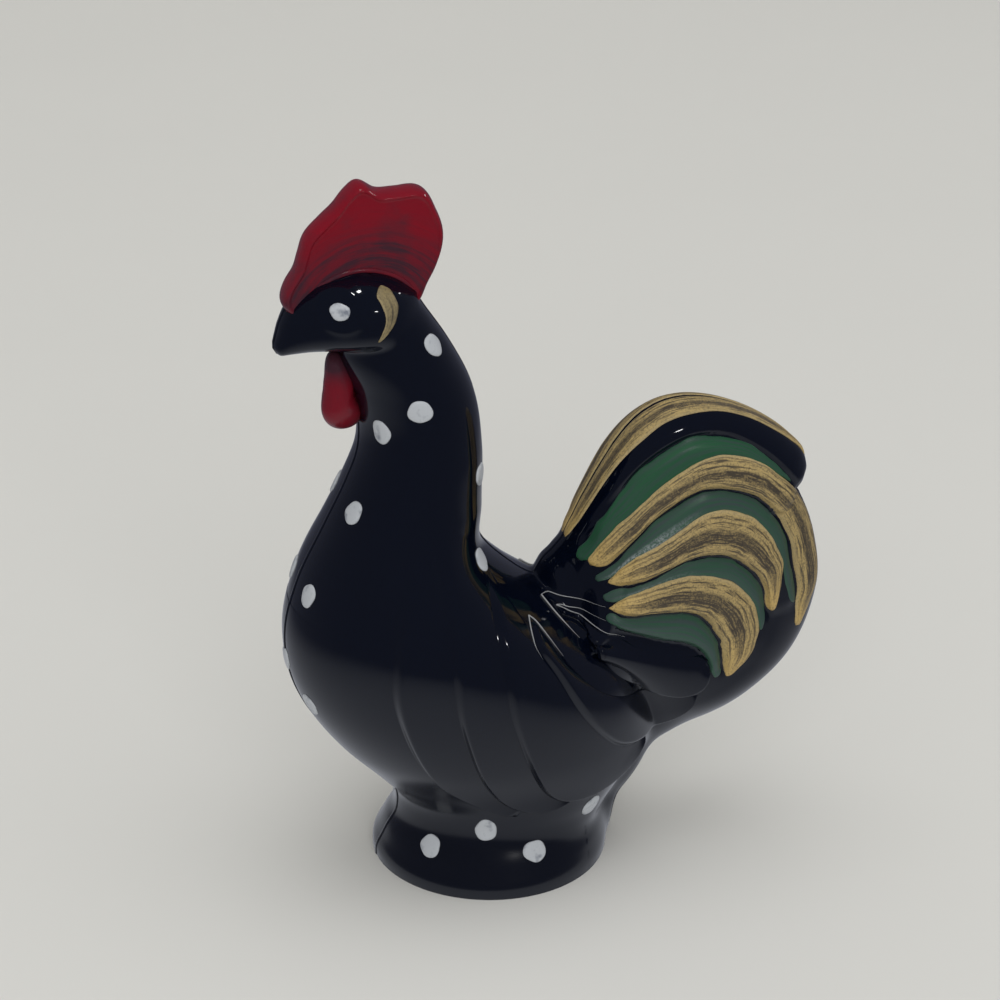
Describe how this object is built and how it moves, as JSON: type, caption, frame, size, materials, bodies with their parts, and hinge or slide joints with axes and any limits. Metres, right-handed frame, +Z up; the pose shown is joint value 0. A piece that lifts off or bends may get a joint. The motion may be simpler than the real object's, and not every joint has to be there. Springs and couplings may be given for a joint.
{
  "type": "glass rooster figurine",
  "caption": "Small pressed black glass rooster standing on a flared foot, with a red comb and wattle, white dots and gold and green painted tail feathers.",
  "frame": {"origin": "centre of the flat underside of the foot, on the ground", "axes": "+Z up; the bird faces -X, its left flank is towards -Y, and its tail is towards +X"},
  "size_m": [0.0672, 0.0348, 0.0879],
  "materials": {
    "black_glass": "fire-polished opaque black glass",
    "red_enamel": "glossy fired red enamel with brush streaks",
    "gold_enamel": "satin mustard gold enamel, brushed thin over the black",
    "green_enamel": "satin dark green enamel",
    "white_enamel": "glossy white enamel, dabbed"
  },
  "bodies": {
    "root": {"glass_body": "black_glass", "wing_left": "black_glass", "wing_right": "black_glass", "comb": "red_enamel", "wattle": "red_enamel", "eye_left": "white_enamel", "eye_right": "white_enamel", "ear_left": "gold_enamel", "ear_right": "gold_enamel", "tail_gold_1_left": "gold_enamel", "tail_gold_2_left": "gold_enamel", "tail_gold_3_left": "gold_enamel", "tail_gold_4_left": "gold_enamel", "tail_gold_1_right": "gold_enamel", "tail_gold_2_right": "gold_enamel", "tail_gold_3_right": "gold_enamel", "tail_gold_4_right": "gold_enamel", "tail_green_1_left": "green_enamel", "tail_green_2_left": "green_enamel", "tail_green_3_left": "green_enamel", "tail_green_4_left": "green_enamel", "tail_green_1_right": "green_enamel", "tail_green_2_right": "green_enamel", "tail_green_3_right": "green_enamel", "tail_green_4_right": "green_enamel", "neck_dots": "white_enamel", "breast_dots": "white_enamel", "foot_dots": "white_enamel"}
  },
  "joints": []
}
